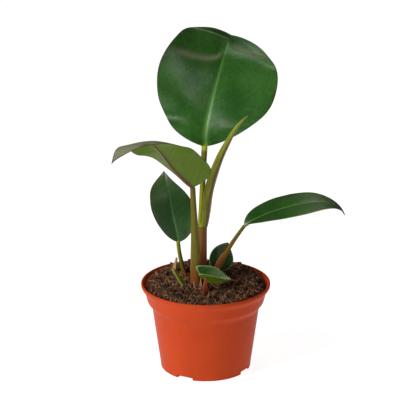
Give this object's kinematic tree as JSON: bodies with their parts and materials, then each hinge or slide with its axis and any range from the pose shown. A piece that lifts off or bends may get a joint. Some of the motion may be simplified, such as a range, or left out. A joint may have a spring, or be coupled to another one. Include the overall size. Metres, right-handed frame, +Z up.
{
  "type": "potted philodendron",
  "caption": "Potted philodendron: rounded glossy leaves on upright stalks, a rolled new leaf and small shoots, in bark compost in a tapered plastic nursery pot.",
  "frame": {"origin": "centre of the pot's flat underside, on the surface that the pot stands on", "axes": "+Z up along the pot's axis, +X to the right with the right leaf, -Y towards the front, where the big top leaf faces"},
  "size_m": [0.1902, 0.1551, 0.2861],
  "materials": {
    "pot_plastic": "moulded terracotta-coloured plastic, satin",
    "compost": "coarse peat and bark compost, rough and dull",
    "root": "pale fleshy root, dull",
    "petiole": "smooth olive stalk with a red flush, satin",
    "red_stalk": "smooth red-brown stalk, satin",
    "collar": "yellow-green ring, satin",
    "leaf": "waxy dark green leaf, glossy on top and paler below",
    "new_growth": "young rolled leaf, olive yellow, satin",
    "red_scale": "thin red sheath, satin",
    "dry_scale": "dry papery sheath, dull"
  },
  "bodies": {
    "root": {"nursery_pot": "pot_plastic", "potting_soil": "compost", "root_crown": "root", "main_root_1": "root", "main_root_2": "root", "main_root_3": "root", "main_root_4": "root", "main_root_5": "root", "main_root_6": "root", "main_stalk": "red_stalk", "stalk_collar": "collar", "top_leaf_petiole": "petiole", "top_leaf": "leaf", "new_leaf": "new_growth", "arching_leaf_petiole": "petiole", "arching_leaf": "leaf", "lower_left_leaf_petiole": "petiole", "lower_left_leaf": "leaf", "right_leaf_petiole": "red_stalk", "right_leaf": "leaf", "back_leaf_petiole": "petiole", "back_leaf": "leaf", "front_leaf_petiole": "red_stalk", "front_leaf": "leaf", "curled_leaf": "new_growth", "front_bract": "red_scale", "left_bract": "red_scale", "dry_stub": "dry_scale", "dry_strip_left": "dry_scale", "dry_strip_right": "dry_scale"}
  },
  "joints": []
}
